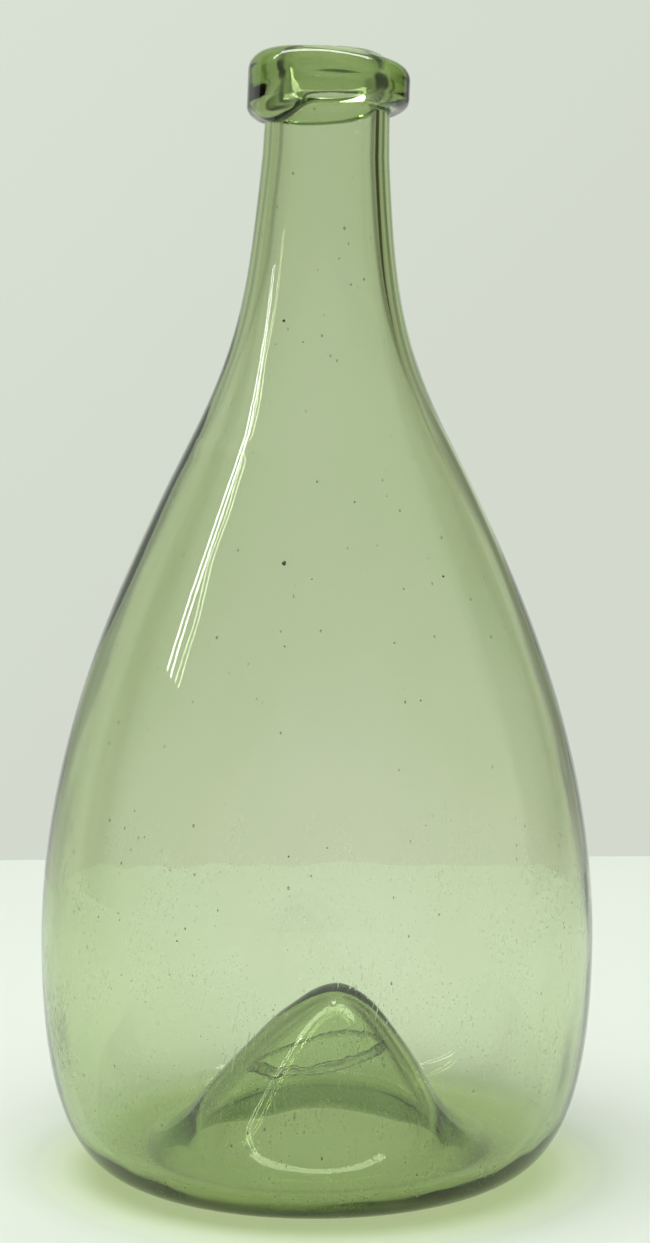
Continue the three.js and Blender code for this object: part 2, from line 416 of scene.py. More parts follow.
def foot_scuffs(tree, place_on, height):
    """Fine scuffs where the bottle stands, fading out a little above the table."""
    foot = node(tree, "ShaderNodeMapRange", {
        "Value": height, "From Min": 0.0, "From Max": SCUFF_REACH, "To Min": 1.0, "To Max": 0.0})
    scuffs = node(tree, "ShaderNodeTexNoise", {"Vector": place_on, "Scale": 1 / SCUFF_WIDTH, "Detail": 4.0})
    return node(tree, MATH, {0: foot, 1: scuffs.outputs["Fac"]}, operation="MULTIPLY")


def clear_green(tree, rough, bump):
    """Ends a glass material: light bends where it enters, and is tinted by the depth that it crosses."""
    shader = node(tree, "ShaderNodeBsdfPrincipled", {
        "Base Color": (1, 1, 1, 1), "Roughness": rough, "Normal": bump,
        "IOR": GLASS_IOR, "Transmission Weight": 1.0})
    depth = node(tree, "ShaderNodeVolumeAbsorption", {"Color": (*GLASS_TINT, 1), "Density": GLASS_DEPTH})
    node(tree, "ShaderNodeOutputMaterial", {"Surface": shader, "Volume": depth})


def bottle_glass(name, wear, grain):
    """Fire-polished bottle glass: faint ripples, rings from turning on the pipe, scratches low on
    the body, and scuffs where it was slid about and stood down."""
    material, tree = new_material(name)
    place_on = node(tree, "ShaderNodeTexCoord").outputs["Object"]
    height = node(tree, "ShaderNodeSeparateXYZ", {0: place_on}).outputs["Z"]
    ripple = node(tree, "ShaderNodeTexNoise", {"Vector": place_on, "Scale": 1 / RIPPLE_WIDTH, "Detail": 2.0})
    turned = node(tree, "ShaderNodeMapping", {"Vector": place_on, "Scale": RING_FLATNESS})
    rings = node(tree, "ShaderNodeTexNoise", {"Vector": turned, "Scale": 1 / RING_WIDTH, "Detail": 1.0})
    waves = node(tree, "ShaderNodeMix", {0: RING_SHARE, 2: ripple.outputs["Fac"], 3: rings.outputs["Fac"]})
    lines = scratches(tree, place_on, height)
    worked = node(tree, MATH, {0: lines, 1: SCRATCH_DEPTH, 2: waves}, operation="MULTIPLY_ADD")
    bump = node(tree, "ShaderNodeBump", {"Strength": WAVE_STRENGTH, "Distance": grain, "Height": worked})
    worn = node(tree, MATH, {0: lines, 1: foot_scuffs(tree, place_on, height)}, operation="MAXIMUM")
    rough = node(tree, MATH, {0: worn, 1: wear, 2: POLISH}, operation="MULTIPLY_ADD")
    clear_green(tree, rough, bump)
    return material


def broken_glass():
    """Snapped glass, never polished again: a conchoidal, frosted break."""
    material, tree = new_material("broken_bottle_glass")
    place_on = node(tree, "ShaderNodeTexCoord").outputs["Object"]
    chips = node(tree, "ShaderNodeTexVoronoi", {"Vector": place_on, "Scale": 1 / CHIP_WIDTH})
    chips = chips.outputs["Distance"]
    bump = node(tree, "ShaderNodeBump", {"Strength": CHIP_STRENGTH, "Distance": CHIP_DEPTH, "Height": chips})
    rough = node(tree, "ShaderNodeMapRange", {
        "Value": chips, "To Min": CHIP_ROUGHNESS[0], "To Max": CHIP_ROUGHNESS[1]})
    clear_green(tree, rough, bump)
    return material


# A profile point is a row of radius, sideways drift of its ring, and height.
def spot(radius, height, drift=0.0):
    return np.array([radius, drift, height])


def along(point, angle, distance):
    return point + distance * spot(math.cos(angle), math.sin(angle))


def between(start, end, steps):
    """The points between two others, without those two."""
    return [start + (end - start) * k / steps for k in range(1, steps)]


def quarter(centre, start, radius, steps):
    """A quarter turn round a centre, from an angle on."""
    return [along(centre, start + UP * k / steps, radius) for k in range(steps + 1)]


def bezier(start, leave, arrive, end, steps):
    t = np.linspace(0, 1, steps + 1)[:, None]
    back = 1 - t
    return back ** 3 * start + 3 * back ** 2 * t * leave + 3 * back * t ** 2 * arrive + t ** 3 * end


def clamped(share):
    return min(1.0, max(0.0, share))


def smooth(share):
    """A share that leaves nothing and reaches one without a kink."""
    return share * share * (3 - 2 * share)


# Points nearer to each other than this are one
SAME_POINT = 1e-8


def join(*runs):
    """One run of points from several, without repeats where they meet."""
    points = []
    for run in runs:
        for point in run:
            if not points or np.linalg.norm(points[-1] - point) > SAME_POINT:
                points.append(point)
    return np.array(points)


def mouth_height(body):
    return body.neck_height + body.lip_length


def bend_share(body, height):
    return max(0.0, (height - body.bend_start) / (mouth_height(body) - body.bend_start))


def place(body, point, angle):
    """The place in space of a profile point at an angle round the hand-made axis."""
    share = bend_share(body, point[2])
    middle = body.lean * (point[2] - body.girth_height) + body.bend * share ** 2
    tip = math.atan(2 * body.bend * share / (mouth_height(body) - body.bend_start))
    outward = point[0] * math.cos(angle)
    return (middle + point[1] + outward * math.cos(tip),
            point[0] * math.sin(angle),
            point[2] - outward * math.sin(tip))


# How many steps the profile takes from the heel to the girth, on to the shoulder, on to the neck,
# up the lip, over the rim, across the cavity's floor and down the kick-up
HEEL_STEPS = 36
GIRTH_STEPS = 56
SHOULDER_STEPS = 36
LIP_STEPS = 12
RIM_STEPS = 16
FLOOR_STEPS = 24
KICK_STEPS = 48


def outer_profile(body, wall):
    """The outside of the body, from the rest ring up to the lip."""
    rest = spot(body.rest_outer, 0)
    girth = spot(body.girth, body.girth_height)
    shoulder = spot(body.shoulder, body.shoulder_height)
    neck = spot(body.neck, body.neck_height)
    way = math.pi - body.shoulder_angle
    neck_way = math.pi - body.neck_angle
    heel = bezier(rest, along(rest, 0, body.heel_flatness),
                  along(girth, -UP, body.heel_rise), girth, HEEL_STEPS)
    full = bezier(girth, along(girth, UP, body.girth_fullness),
                  along(shoulder, way, -body.shoulder_below), shoulder, GIRTH_STEPS)
    rise = bezier(shoulder, along(shoulder, way, body.shoulder_above),
                  along(neck, neck_way, -body.neck_stretch), neck, SHOULDER_STEPS)
    end = spot(body.lip, mouth_height(body) - wall.mouth / 2)
    return join([rest], heel, full, rise, np.linspace(neck, end, LIP_STEPS))


def through(height, known):
    """A value that passes smoothly through what is known at a few heights."""
    levels = [level for level, _ in known]
    if height <= levels[0]:
        return known[0][1]
    if height >= levels[-1]:
        return known[-1][1]
    k = next(i for i, level in enumerate(levels) if level > height)
    share = (height - levels[k - 1]) / (levels[k] - levels[k - 1])
    return known[k - 1][1] + (known[k][1] - known[k - 1][1]) * smooth(share)


def offset(run, distance_at, drift_at):
    """Each point of a run moved to the left of its way, by its own distance."""
    moved = []
    for i, point in enumerate(run):
        step = run[min(i + 1, len(run) - 1)] - run[max(i - 1, 0)]
        new = along(point, math.atan2(step[2], step[0]) + UP, distance_at(point[2]))
        new[1] = drift_at(new[2])
        moved.append(new)
    return moved


def kick_drift(kick, height, top):
    """How far the kick-up leans over at a height, all the way at its tip."""
    return kick.offset * (height / top) ** kick.lean


def kick_profile(kick, rest_inner, steps=KICK_STEPS):
    """The kick-up's underside, from its tip down to the rest ring."""
    tip = spot(0, kick.height)
    foot = spot(rest_inner, 0)
    knee = spot(rest_inner - kick.foot_round, kick.foot_rise)
    flank = bezier(tip, spot(kick.tip, kick.height), along(knee, kick.foot_angle, kick.foot), knee, steps)
    rounded = bezier(knee, along(knee, kick.foot_angle, -kick.foot_rise / 2),
                     along(foot, math.pi, kick.foot_round / 2), foot, steps // 4)
    run = join(flank, rounded)
    run[:, 1] = kick_drift(kick, run[:, 2], kick.height)
    return run


def neck_radius_at(body, wall, height):
    share = (height - body.neck_height) / (body.lip_length - wall.mouth / 2)
    return body.neck + (body.lip - body.neck) * share


def bed_stations(body, wall, collar):
    """Where the neck narrows under the collar, which sank into it while both were hot."""
    height = mouth_height(body) - collar.bed_height
    foot = spot(neck_radius_at(body, wall, height), height)
    top = spot(body.lip - collar.bed, height + collar.bed_step)
    return foot, top


def lining(body, wall, outer):
    """The inside of the wall, from the cavity's floor up to the mouth."""
    top = mouth_height(body)
    walls = [(wall.floor_rise, wall.heel), (body.girth_height, wall.girth),
             (body.shoulder_height, wall.shoulder), (body.neck_height, wall.neck), (top, wall.mouth)]
    run = [p for p in offset(outer, lambda z: through(z, walls), lambda z: 0.0) if p[2] > wall.floor_rise]
    run[-1] = spot(body.lip - wall.mouth, top - wall.mouth / 2)
    return run


def kick_lining(kick, wall, under):
    """The inside of the kick-up, from its tip out to the cavity's floor."""
    top = kick.height + wall.kick
    inner = offset(under, lambda z: wall.kick, lambda z: kick_drift(kick, z, top))
    run = [p for p in inner if p[0] < kick.end + wall.kick]
    run[0] = spot(0, top, kick.offset)
    return run


def cavity_floor(wall, side, upper):
    """The curve that carries the wall's inside on into the kick-up's."""
    into = side[-1] - side[-2]
    out_of = upper[1] - upper[0]
    return bezier(side[-1], side[-1] + into / np.linalg.norm(into) * wall.floor_stretch,
                  upper[0] - out_of / np.linalg.norm(out_of) * wall.floor_stretch, upper[0], FLOOR_STEPS)


def rim_run(body, wall, bed_top):
    """The round rim, from the collar's bed over to the bore."""
    half = (bed_top[0] - (body.lip - wall.mouth)) / 2
    middle = spot(bed_top[0] - half, mouth_height(body) - half)
    return [along(middle, math.pi * step / RIM_STEPS, half) for step in range(RIM_STEPS + 1)]


# The lining has no waves for this far below the rim, and they grow to their full height over the next
# length. On the kick-up's top they grow over this distance from its tip
CALM_RIM = 12 * MM
CALM_FADE = 30 * MM
CALM_TIP = 12 * MM
TIP_MARGIN = 1 * MM
# The wall's unevenness begins to fade this far below the neck's straight end. On the cavity's floor it
# fades over this many times the floor's stretch
SWELL_END = 8 * MM
FLOOR_FADE = 1.5


def ripple_share(point, top, kick_top):
    """The lining ripples most in the body, and not at the rim or the kick-up's tip."""
    below_rim = clamped((top - CALM_RIM - point[2]) / CALM_FADE)
    off_tip = min(1.0, point[0] / CALM_TIP) if point[2] < kick_top + TIP_MARGIN else 1.0
    return below_rim * off_tip


def off_kick(point, kick, wall):
    """Nothing on the kick-up, one on the wall, and a smooth share between them on the cavity's floor."""
    start = kick.end + wall.kick
    if point[2] > wall.floor_rise:
        return 1.0 if point[0] > start else 0.0
    return smooth(clamped((point[0] - start) / (FLOOR_FADE * wall.floor_stretch)))


def body_profile(body, wall, kick, collar):
    """Closed profile of the blown body, with marks of how much each point ripples and swells."""
    top = mouth_height(body)
    under = kick_profile(kick, body.rest_inner)
    outer = outer_profile(body, wall)
    side = lining(body, wall, outer)[::-1]
    upper = kick_lining(kick, wall, under)[::-1]
    bed_foot, bed_top = bed_stations(body, wall, collar)
    rim = rim_run(body, wall, bed_top)
    outside = join(under, [p for p in outer if p[2] < bed_foot[2]], [bed_foot, bed_top], rim)
    inside = join([rim[-1]], side, cavity_floor(wall, side, upper), upper)[1:]
    swells = [(wall.floor_rise, wall.girth_swell), (body.girth_height, wall.girth_swell),
              (body.shoulder_height, wall.shoulder_swell), (body.neck_height - SWELL_END, wall.neck_swell),
              (top - collar.bed_height, 0.0), (top, 0.0)]
    marks = np.zeros((len(outside) + len(inside), 2))
    marks[len(outside):, 0] = [ripple_share(p, top, kick.height + wall.kick) for p in inside]
    marks[len(outside):, 1] = [through(p[2], swells) * off_kick(p, kick, wall) for p in inside]
    return np.vstack([outside, inside]), marks


def profile_object(points, marks):
    """A bare run of points that the blowing tree turns into the body."""
    mesh = bpy.data.meshes.new("body_profile")
    mesh.from_pydata([tuple(p) for p in points], [], [])
    for column, name in enumerate(("ripple_share", "swell")):
        mark = mesh.attributes.new(name, "FLOAT", "POINT")
        mark.data.foreach_set("value", marks[:, column].astype(np.float32))
    return put("body_profile", mesh)


def blowing_inputs(tree):
    """Names what the tree is given: the profile, and the bottle's sizes."""
    face = tree.interface
    face.new_socket("Geometry", in_out="INPUT", socket_type="NodeSocketGeometry")
    for name in ("Sides", "Seed"):
        face.new_socket(name, in_out="INPUT", socket_type="NodeSocketInt")
    for name in ("Lean", "Girth Height", "Bend Start", "Bend", "Mouth Height", "Ripple", "Bubble Radius",
                 "Bubbles"):
        face.new_socket(name, in_out="INPUT", socket_type="NodeSocketFloat")
    face.new_socket("Geometry", in_out="OUTPUT", socket_type="NodeSocketGeometry")
    return node(tree, "NodeGroupInput").outputs


def wound_grid(tree, given):
    """A grid with a row for each profile point, with the row and the turn of each of its points."""
    count = node(tree, "GeometryNodeAttributeDomainSize", {0: given["Geometry"]}).outputs["Point Count"]
    around = node(tree, MATH, {0: given["Sides"], 1: 1.0}, operation="ADD")
    grid = node(tree, "GeometryNodeMeshGrid", {"Vertices X": count, "Vertices Y": around}).outputs["Mesh"]
    index = node(tree, "GeometryNodeInputIndex")
    row = node(tree, MATH, {0: index, 1: around}, operation="DIVIDE")
    row = node(tree, MATH, {0: row}, operation="FLOOR")
    column = node(tree, MATH, {0: index, 1: around}, operation="MODULO")
    turn = node(tree, MATH, {0: column, 1: TAU}, operation="MULTIPLY")
    turn = node(tree, MATH, {0: turn, 1: given["Sides"]}, operation="DIVIDE")
    return grid, row, turn


def of_row(tree, given, row, value, kind):
    """What the profile point of each row holds."""
    return node(tree, "GeometryNodeSampleIndex", {
        "Geometry": given["Geometry"], "Value": value, "Index": row}, data_type=kind, domain="POINT")


def made_axis(tree, given, height):
    """How far the axis has gone sideways at each height, and how far it tips there."""
    over = node(tree, MATH, {0: height, 1: given["Bend Start"]}, operation="SUBTRACT")
    span = node(tree, MATH, {0: given["Mouth Height"], 1: given["Bend Start"]}, operation="SUBTRACT")
    bent = node(tree, MATH, {0: over, 1: span}, operation="DIVIDE")
    bent = node(tree, MATH, {0: bent, 1: 0.0}, operation="MAXIMUM")
    squared = node(tree, MATH, {0: bent, 1: bent}, operation="MULTIPLY")
    bow = node(tree, MATH, {0: squared, 1: given["Bend"]}, operation="MULTIPLY")
    above = node(tree, MATH, {0: height, 1: given["Girth Height"]}, operation="SUBTRACT")
    middle = node(tree, MATH, {0: above, 1: given["Lean"], 2: bow}, operation="MULTIPLY_ADD")
    slope = node(tree, MATH, {0: bent, 1: given["Bend"]}, operation="MULTIPLY")
    slope = node(tree, MATH, {0: slope, 1: 2.0}, operation="MULTIPLY")
    slope = node(tree, MATH, {0: slope, 1: span}, operation="DIVIDE")
    return middle, node(tree, MATH, {0: slope}, operation="ARCTANGENT")


# The waves of the lining: how wide they are, the scale that draws them out upwards, and the factor
# that brings the noise's small swing up to the ripple's height
LINING_WAVE = 24 * MM
LINING_STRETCH = (1.0, 1.0, 0.45)
LINING_SWING = 4.0


def rippled_radius(tree, given, radius, height, cosine, sine, share):
    """Each point's radius, with waves where the profile's mark lets it ripple."""
    spot_x = node(tree, MATH, {0: radius, 1: cosine}, operation="MULTIPLY")
    spot_y = node(tree, MATH, {0: radius, 1: sine}, operation="MULTIPLY")
    flat = node(tree, "ShaderNodeCombineXYZ", {"X": spot_x, "Y": spot_y, "Z": height})
    stretched = node(tree, "ShaderNodeVectorMath", {0: flat, 1: LINING_STRETCH}, operation="MULTIPLY")
    wave = node(tree, "ShaderNodeTexNoise", {"Vector": stretched, "Scale": 1 / LINING_WAVE, "Detail": 1.5})
    wave = node(tree, MATH, {0: wave, 1: 0.5}, operation="SUBTRACT")
    swell = node(tree, MATH, {0: given["Ripple"], 1: share}, operation="MULTIPLY")
    swell = node(tree, MATH, {0: swell, 1: LINING_SWING}, operation="MULTIPLY")
    return node(tree, MATH, {0: wave, 1: swell, 2: radius}, operation="MULTIPLY_ADD")


def turned_places(tree, given, row, turn):
    """Where each point of the grid goes: round the axis, with the wall thicker on the left."""
    here = node(tree, "GeometryNodeInputPosition")
    part = node(tree, "ShaderNodeSeparateXYZ", {0: of_row(tree, given, row, here, "FLOAT_VECTOR")}).outputs
    radius, drift, height = part["X"], part["Y"], part["Z"]
    share, swell = [
        of_row(tree, given, row,
               node(tree, "GeometryNodeInputNamedAttribute", {"Name": name}, data_type="FLOAT"), "FLOAT")
        for name in ("ripple_share", "swell")]
    cosine = node(tree, MATH, {0: turn}, operation="COSINE")
    sine = node(tree, MATH, {0: turn}, operation="SINE")
    leftness = node(tree, MATH, {0: cosine, 1: -0.5, 2: 0.5}, operation="MULTIPLY_ADD")
    push = node(tree, MATH, {0: leftness, 1: swell, 2: drift}, operation="MULTIPLY_ADD")
    middle, tip = made_axis(tree, given, height)
    middle = node(tree, MATH, {0: middle, 1: push}, operation="ADD")
    full = rippled_radius(tree, given, radius, height, cosine, sine, share)
    outward = node(tree, MATH, {0: full, 1: cosine}, operation="MULTIPLY")
    tip_cos = node(tree, MATH, {0: tip}, operation="COSINE")
    tip_sin = node(tree, MATH, {0: tip}, operation="SINE")
    x = node(tree, MATH, {0: outward, 1: tip_cos, 2: middle}, operation="MULTIPLY_ADD")
    y = node(tree, MATH, {0: full, 1: sine}, operation="MULTIPLY")
    down = node(tree, MATH, {0: outward, 1: tip_sin}, operation="MULTIPLY")
    z = node(tree, MATH, {0: height, 1: down}, operation="SUBTRACT")
    return node(tree, "ShaderNodeCombineXYZ", {"X": x, "Y": y, "Z": z})


# Seeds lie this deep in the wall and are drawn out upwards. The smallest is this share of the largest
SEED_DEPTH = 0.9 * MM
SEED_FORM = (0.8, 0.8, 1.3)
SEED_SMALLEST = 0.25
BLOWING_SEED = 7
# The grid's seam, and the kick-up's tip, are closed by joining points nearer than this
SEAM = 2e-6


def seed_bubbles(tree, given, skin):
    """Small hollow balls scattered inside the wall."""
    spots = node(tree, "GeometryNodeDistributePointsOnFaces",
                 {"Mesh": skin, "Density": given["Bubbles"], "Seed": given["Seed"]})
    inward = node(tree, "ShaderNodeVectorMath", {0: spots.outputs["Normal"], "Scale": -SEED_DEPTH},
                  operation="SCALE")
    sunk = node(tree, "GeometryNodeSetPosition", {"Geometry": spots.outputs["Points"], "Offset": inward})
    ball = node(tree, "GeometryNodeMeshIcoSphere", {"Radius": given["Bubble Radius"], "Subdivisions": 2})
    hollow = node(tree, "GeometryNodeFlipFaces", {"Mesh": ball.outputs["Mesh"]})
    size = node(tree, "FunctionNodeRandomValue", {2: SEED_SMALLEST, 3: 1.0, "Seed": given["Seed"]},
                data_type="FLOAT")
    scale = node(tree, "ShaderNodeVectorMath", {0: SEED_FORM, "Scale": size.outputs[1]}, operation="SCALE")
    seeds = node(tree, "GeometryNodeInstanceOnPoints", {"Points": sunk, "Instance": hollow, "Scale": scale})
    return node(tree, "GeometryNodeRealizeInstances", {0: seeds})


def blowing_tree(material):
    """Turns a profile round a leaning, bending axis, ripples its lining and blows seeds into the wall."""
    tree = bpy.data.node_groups.new("blown_body", "GeometryNodeTree")
    given = blowing_inputs(tree)
    grid, row, turn = wound_grid(tree, given)
    target = turned_places(tree, given, row, turn)
    skin = node(tree, "GeometryNodeSetPosition", {"Geometry": grid, "Position": target})
    skin = node(tree, "GeometryNodeFlipFaces", {"Mesh": skin})
    skin = node(tree, "GeometryNodeMergeByDistance", {"Geometry": skin, "Distance": SEAM})
    seeds = seed_bubbles(tree, given, skin)
    both = node(tree, "GeometryNodeJoinGeometry")
    for part in (seeds, skin):
        tree.links.new(part.outputs[0], both.inputs[0])
    smoothed = node(tree, "GeometryNodeSetShadeSmooth", {"Geometry": both})
    real = node(tree, "GeometryNodeRealizeInstances", {0: smoothed})
    dressed = node(tree, "GeometryNodeSetMaterial", {"Geometry": real, "Material": material})
    node(tree, "NodeGroupOutput", {0: dressed})
    return tree


def grown(carrier, tree, values, name):
    """Runs a geometry tree on a carrier, and gives its result as a plain object."""
    modifier = carrier.modifiers.new("grow", "NODES")
    modifier.node_group = tree
    for item in tree.interface.items_tree:
        if item.item_type == "SOCKET" and item.in_out == "INPUT" and item.name in values:
            modifier[item.identifier] = values[item.name]
    dg = bpy.context.evaluated_depsgraph_get()
    mesh = bpy.data.meshes.new_from_object(carrier.evaluated_get(dg))
    mesh.name = name
    carrier.modifiers.remove(modifier)
    bpy.data.objects.remove(carrier)
    return put(name, mesh)


def ring_mesh(name, sections, material):
    """Sections round the axis joined into one closed skin."""
    mesh = bpy.data.meshes.new(name)
    around, corners = len(sections), len(sections[0])
    points = [p for section in sections for p in section]
    faces = []
    for i in range(around):
        j = (i + 1) % around
        for k in range(corners):
            m = (k + 1) % corners
            faces.append((i * corners + k, j * corners + k, j * corners + m, i * corners + m))
    mesh.from_pydata(points, [], faces)
    mesh.materials.append(material)
    mesh.shade_smooth()
    edit = bmesh.new()
    edit.from_mesh(mesh)
    bmesh.ops.recalc_face_normals(edit, faces=edit.faces)
    edit.to_mesh(mesh)
    edit.free()
    return put(name, mesh)


# The collar is drawn with this many sections round the neck, and with these steps across each
COLLAR_AROUND = 240
LOWER_EDGE_STEPS = 10
UPPER_EDGE_STEPS = 12
FLANK_STEPS = 8
CROWN_STEPS = 8
UNDER_STEPS = 3
BED_POINTS = 5
NECK_POINTS = 4
# Hand work leaves the strip uneven: how often round it, by how much in height and in radius, and what
# keeps the proudest place within the radius
UNEVEN_TURNS = 2.2
UNEVEN_HEIGHT = 0.25 * MM
UNEVEN_RADIUS = 0.12 * MM
UNEVEN_ROOM = 0.1 * MM


def lap_share(collar, angle):
    away = abs(math.atan2(math.sin(angle - collar.lap_angle), math.cos(angle - collar.lap_angle)))
    return math.cos(away / collar.lap_spread * UP) ** 2 if away < collar.lap_spread else 0.0


def strip_edges(collar, level, angle):
    """The strip's outer radius, and the heights of its lower and upper edges."""
    lap = lap_share(collar, angle)
    uneven = noise.noise(Vector((UNEVEN_TURNS * math.cos(angle), UNEVEN_TURNS * math.sin(angle), 0.3)))
    top = level - collar.dip * (0.5 + 0.5 * math.cos(angle - collar.dip_angle)) ** 2
    low = level - collar.depth + collar.slant * math.cos(angle - collar.slant_angle)
    low += UNEVEN_HEIGHT * uneven - collar.lap_drop * lap
    out = collar.radius + collar.lap_swell * lap + UNEVEN_RADIUS * uneven - UNEVEN_ROOM
    return out, low, top


def crown_run(start, end):
    """From the strip's upper edge in to the bore, level at both ends."""
    run = []
    for k in range(1, CROWN_STEPS):
        share = k / CROWN_STEPS
        height = start[2] + (end[2] - start[2]) * smooth(share)
        run.append(spot(start[0] + (end[0] - start[0]) * share, height))
    return run


def collar_section(body, wall, collar, angle):
    """The strip cut through at an angle: under it, up its flank, over its crown and down its bed."""
    level = mouth_height(body) - collar.setback
    out, low, top = strip_edges(collar, level, angle)
    lower = quarter(spot(out - collar.bottom_rounding, low + collar.bottom_rounding), -UP,
                    collar.bottom_rounding, LOWER_EDGE_STEPS)
    upper = quarter(spot(out - collar.top_rounding, top - collar.top_rounding), 0,
                    collar.top_rounding, UPPER_EDGE_STEPS)
    flank = between(lower[-1], upper[0], FLANK_STEPS)
    off = spot(collar.seam, collar.seam)
    bed_foot, bed_top = bed_stations(body, wall, collar)
    inner_low = spot(neck_radius_at(body, wall, low) + collar.seam, low)
    inner_top = spot(bed_top[0] + collar.seam, level + collar.setback / 2)
    inner = [*np.linspace(inner_top, bed_top + off, BED_POINTS),
             *np.linspace(bed_foot + off, inner_low, NECK_POINTS)]
    under = between(inner_low, lower[0], UNDER_STEPS)
    crown = crown_run(upper[-1], inner_top)
    return [place(body, p, angle) for p in [*under, *lower, *flank, *upper, *crown, *inner]]


# The scar is drawn with this many sections round it and steps across it, and lies this far off the
# kick-up's glass
SCAR_AROUND = 180
SCAR_STEPS = 10
SCAR_GAP = 0.03 * MM
# How often the break wanders, widens, chips and jags round the ring, with the strength of the last two
WANDERS = 3.1
WIDENS = 5.7
CHIPS = 8.3
CHIP_SHARE = 0.6
JAGS = 14
JAG_SHARE = 0.3


def scar_sections(body, kick, scar):
    """The scar hugs the kick-up's underside, and its broken face is chipped."""
    run = kick_profile(kick, body.rest_inner, 2 * KICK_STEPS)

    def underside(radius, depth):
        k = int(np.searchsorted(run[:, 0], radius))
        t = (radius - run[k - 1, 0]) / (run[k, 0] - run[k - 1, 0])
        step = run[k] - run[k - 1]
        return along(run[k - 1] + step * t, math.atan2(step[2], step[0]) - UP, depth)

    sections = []
    for i in range(SCAR_AROUND):
        angle = TAU * i / SCAR_AROUND
        spin = Vector((math.cos(angle), math.sin(angle), 0.0))
        chip = noise.noise(spin * WANDERS) + CHIP_SHARE * noise.noise(spin * CHIPS)
        middle = scar.radius - scar.offset * math.cos(angle) + scar.roughness * MM * chip
        width = scar.width * (1 + scar.roughness * noise.noise(spin * WIDENS + Vector((0, 0, 4))))
        depth = scar.depth * (0.9 + scar.roughness * chip)
        band = [middle + width * (k / SCAR_STEPS - 0.5) for k in range(SCAR_STEPS + 1)]
        roof = [underside(r, SCAR_GAP) for r in band]
        crest = []
        for k, r in enumerate(band[1:-1], 1):
            across = 2 * k / SCAR_STEPS - 1
            jag = 1 + JAG_SHARE * noise.noise(spin * JAGS + Vector((0, 0, k * 0.7)))
            crest.append(underside(r, SCAR_GAP + depth * jag * math.sqrt(1 - across * across)))
        sections.append([place(body, p, angle) for p in [*crest, *roof[::-1]]])
    return sections


# The stones that show most: degrees round the bottle, height, and size against the largest
STONES = [
    (-100.1, 126.7 * MM, 1.0),
    (-116.2, 174.2 * MM, 0.7),
    (-51.9, 123.9 * MM, 0.6),
    (-104.0, 101.5 * MM, 0.35),
    (-66.0, 101.0 * MM, 0.4),
    (-119.5, 169.5 * MM, 0.4),
]
# The small ones: the share of the bottle's height and of the largest size that they lie between
SPECK_HEIGHTS = (0.08, 0.9)
SPECK_SIZES = (0.15, 0.45)
SPECK_SEED = 11
# A stone of at least this size gets a finer mesh, none is quite round, and all are gritty
FINE_STONE = 0.5
LUMPINESS = 0.5
LUMPS = 1.7
GRIT = 0.15 * MM


def stone_places(body, wall, specks):
    """Places in the middle of the wall, with a size for each."""
    outer = outer_profile(body, wall)
    draw = np.random.default_rng(SPECK_SEED)
    spread = [(draw.uniform(0, 360), draw.uniform(*SPECK_HEIGHTS) * mouth_height(body),
               draw.uniform(*SPECK_SIZES)) for _ in range(specks)]
    sunk = 0.5 * wall.girth
    for degrees, height, size in STONES + spread:
        radius = np.interp(height, outer[:, 2], outer[:, 0]) - sunk
        yield place(body, spot(radius, height), math.radians(degrees)), size


def stones_mesh(name, body, wall, seeds, material):
    """Lumps of unmelted sand and clay, each a pebble of a few dozen faces."""
    edit = bmesh.new()
    for k, (middle, size) in enumerate(stone_places(body, wall, seeds.specks)):
        fineness = 1 if size < FINE_STONE else 2
        lump = bmesh.ops.create_icosphere(edit, subdivisions=fineness, radius=seeds.stone * size)
        for vert in lump["verts"]:
            lump_at = vert.co.normalized() * LUMPS + Vector((k, 0, 0))
            vert.co = Vector(middle) + vert.co * (1 + LUMPINESS * noise.noise(lump_at))
    mesh = bpy.data.meshes.new(name)
    edit.to_mesh(mesh)
    edit.free()
    mesh.materials.append(material)
    mesh.shade_smooth()
    return put(name, mesh)


def clay_stone():
    """Unmelted clay and sand from the melting pot: dull, dark brown and grainy."""
    material, tree = new_material("clay_stone")
    place_in = node(tree, "ShaderNodeTexCoord").outputs["Object"]
    grain = node(tree, "ShaderNodeTexNoise", {"Vector": place_in, "Scale": 1 / GRIT})
    tone = ramp(tree, grain.outputs["Fac"], [(0.3, linear("#3a2c18")), (0.7, linear("#6b5230"))])
    shader = node(tree, "ShaderNodeBsdfPrincipled", {"Base Color": tone, "Roughness": 0.8})
    node(tree, "ShaderNodeOutputMaterial", {"Surface": shader})
    return material


def set_in(piece, node_name):
    """Rides a piece on the bottle in the place of its plain solid."""
    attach(piece, "root")
    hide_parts(node_name)


class BOTTLE_OT_body(bpy.types.Operator):
    """Blow the body: neck, shoulder, girth, heel and kick-up, with its hollow"""
    bl_idname = "bottle.body"
    bl_label = "Blown Body"

    def execute(self, context):
        scene = context.scene
        body, wall, seeds = scene.body_sizes, scene.wall_sizes, scene.seed_sizes
        glass = bottle_glass("blown_bottle_glass", wear=0.35, grain=0.12 * MM)
        carrier = profile_object(*body_profile(body, wall, scene.kick_sizes, scene.collar_sizes))
        values = {"Sides": body.sides, "Lean": body.lean, "Girth Height": body.girth_height,
                  "Bend Start": body.bend_start, "Bend": body.bend, "Mouth Height": mouth_height(body),
                  "Ripple": wall.ripple, "Bubble Radius": seeds.bubble, "Bubbles": seeds.bubbles,
                  "Seed": BLOWING_SEED}
        piece = grown(carrier, blowing_tree(glass), values, "bottle_body_glass")
        set_in(piece, "bottle_body")
        return {"FINISHED"}


